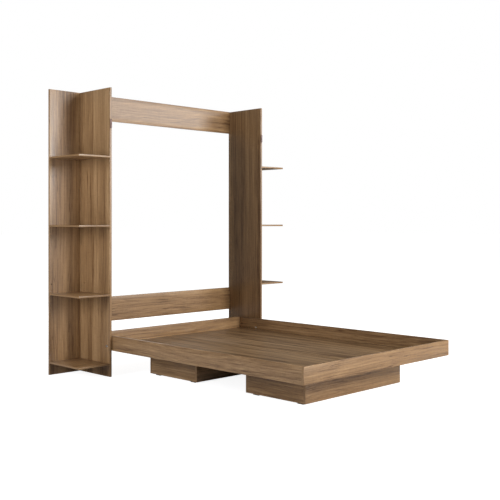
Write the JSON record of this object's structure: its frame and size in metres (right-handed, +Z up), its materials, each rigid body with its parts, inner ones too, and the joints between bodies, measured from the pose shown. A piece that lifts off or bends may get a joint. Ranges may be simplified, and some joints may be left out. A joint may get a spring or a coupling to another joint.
{
  "type": "murphy wall bed",
  "caption": "Murphy wall bed: open shelf towers joined by two wall rails, with a plinth-footed bed tray that folds up between them and is held by turn buttons.",
  "frame": {"origin": "on the floor, under the centre of the opened bed's overall box", "axes": "+Z up; +Y towards the wall, so the bed opens towards -Y; +X to the right of a person who faces the wall"},
  "size_m": [1.96, 2.075, 1.946],
  "materials": {
    "walnut_board": "walnut-pattern melamine, satin, with matching edge band",
    "beech": "fluted beech dowel, raw",
    "zinc_steel": "zinc plated, dull",
    "bright_steel": "nickel plated, bright",
    "bronzed_steel": "bronzed, satin",
    "brown_plastic": "moulded brown cam cover, matte",
    "black_plastic": "moulded nylon, matte"
  },
  "bodies": {
    "towers": {"left_side_panel": "walnut_board", "right_side_panel": "walnut_board", "left_back_panel": "walnut_board", "right_back_panel": "walnut_board", "left_shelf_1": "walnut_board", "left_shelf_2": "walnut_board", "left_shelf_3": "walnut_board", "left_shelf_4": "walnut_board", "right_shelf_1": "walnut_board", "right_shelf_2": "walnut_board", "right_shelf_3": "walnut_board", "right_shelf_4": "walnut_board", "upper_wall_rail": "walnut_board", "lower_wall_rail": "walnut_board", "shelf_dowels": "beech", "shelf_cams": "zinc_steel", "shelf_cam_bolts": "zinc_steel", "wall_rail_dowels": "beech", "wall_rail_cams": "zinc_steel", "wall_rail_cam_bolts": "zinc_steel", "tower_screws": "zinc_steel", "left_pivot_bolt": "bright_steel", "right_pivot_bolt": "bright_steel", "pivot_washers": "zinc_steel", "pivot_nuts": "bright_steel", "latch_screws": "bronzed_steel", "latch_washers": "zinc_steel"},
    "bed": {"left_bed_rail": "walnut_board", "right_bed_rail": "walnut_board", "head_rail": "walnut_board", "foot_rail": "walnut_board", "left_platform_board": "walnut_board", "right_platform_board": "walnut_board", "head_plinth_rear": "walnut_board", "head_plinth_front": "walnut_board", "head_plinth_left": "walnut_board", "head_plinth_right": "walnut_board", "head_plinth_rib": "walnut_board", "foot_plinth_rear": "walnut_board", "foot_plinth_front": "walnut_board", "foot_plinth_left": "walnut_board", "foot_plinth_right": "walnut_board", "foot_plinth_rib": "walnut_board", "bed_rail_dowels": "beech", "bed_rail_cams": "brown_plastic", "bed_rail_cam_bolts": "zinc_steel", "platform_dowels": "beech", "plinth_dowels": "beech", "plinth_brackets": "zinc_steel", "bracket_screws": "zinc_steel", "plinth_glides": "black_plastic", "left_pivot_bush": "black_plastic", "right_pivot_bush": "black_plastic", "strike_plates": "bronzed_steel", "strike_screws": "bronzed_steel"},
    "left_turn_button": {"left_turn_button": "bronzed_steel"},
    "right_turn_button": {"right_turn_button": "bronzed_steel"}
  },
  "joints": [
    {"name": "bed_fold", "type": "hinge", "parent": "towers", "child": "bed", "pos_m": [0, 0.7025, 0.204], "axis": [-1, 0, 0], "range_deg": [0, 90]},
    {"name": "left_button_turn", "type": "hinge", "parent": "towers", "child": "left_turn_button", "pos_m": [-0.7275, 0.6684, 1.703], "axis": [0, -1, 0], "range_deg": [0, 90]},
    {"name": "right_button_turn", "type": "hinge", "parent": "towers", "child": "right_turn_button", "pos_m": [0.7275, 0.6684, 1.703], "axis": [0, 1, 0], "range_deg": [0, 90]}
  ]
}
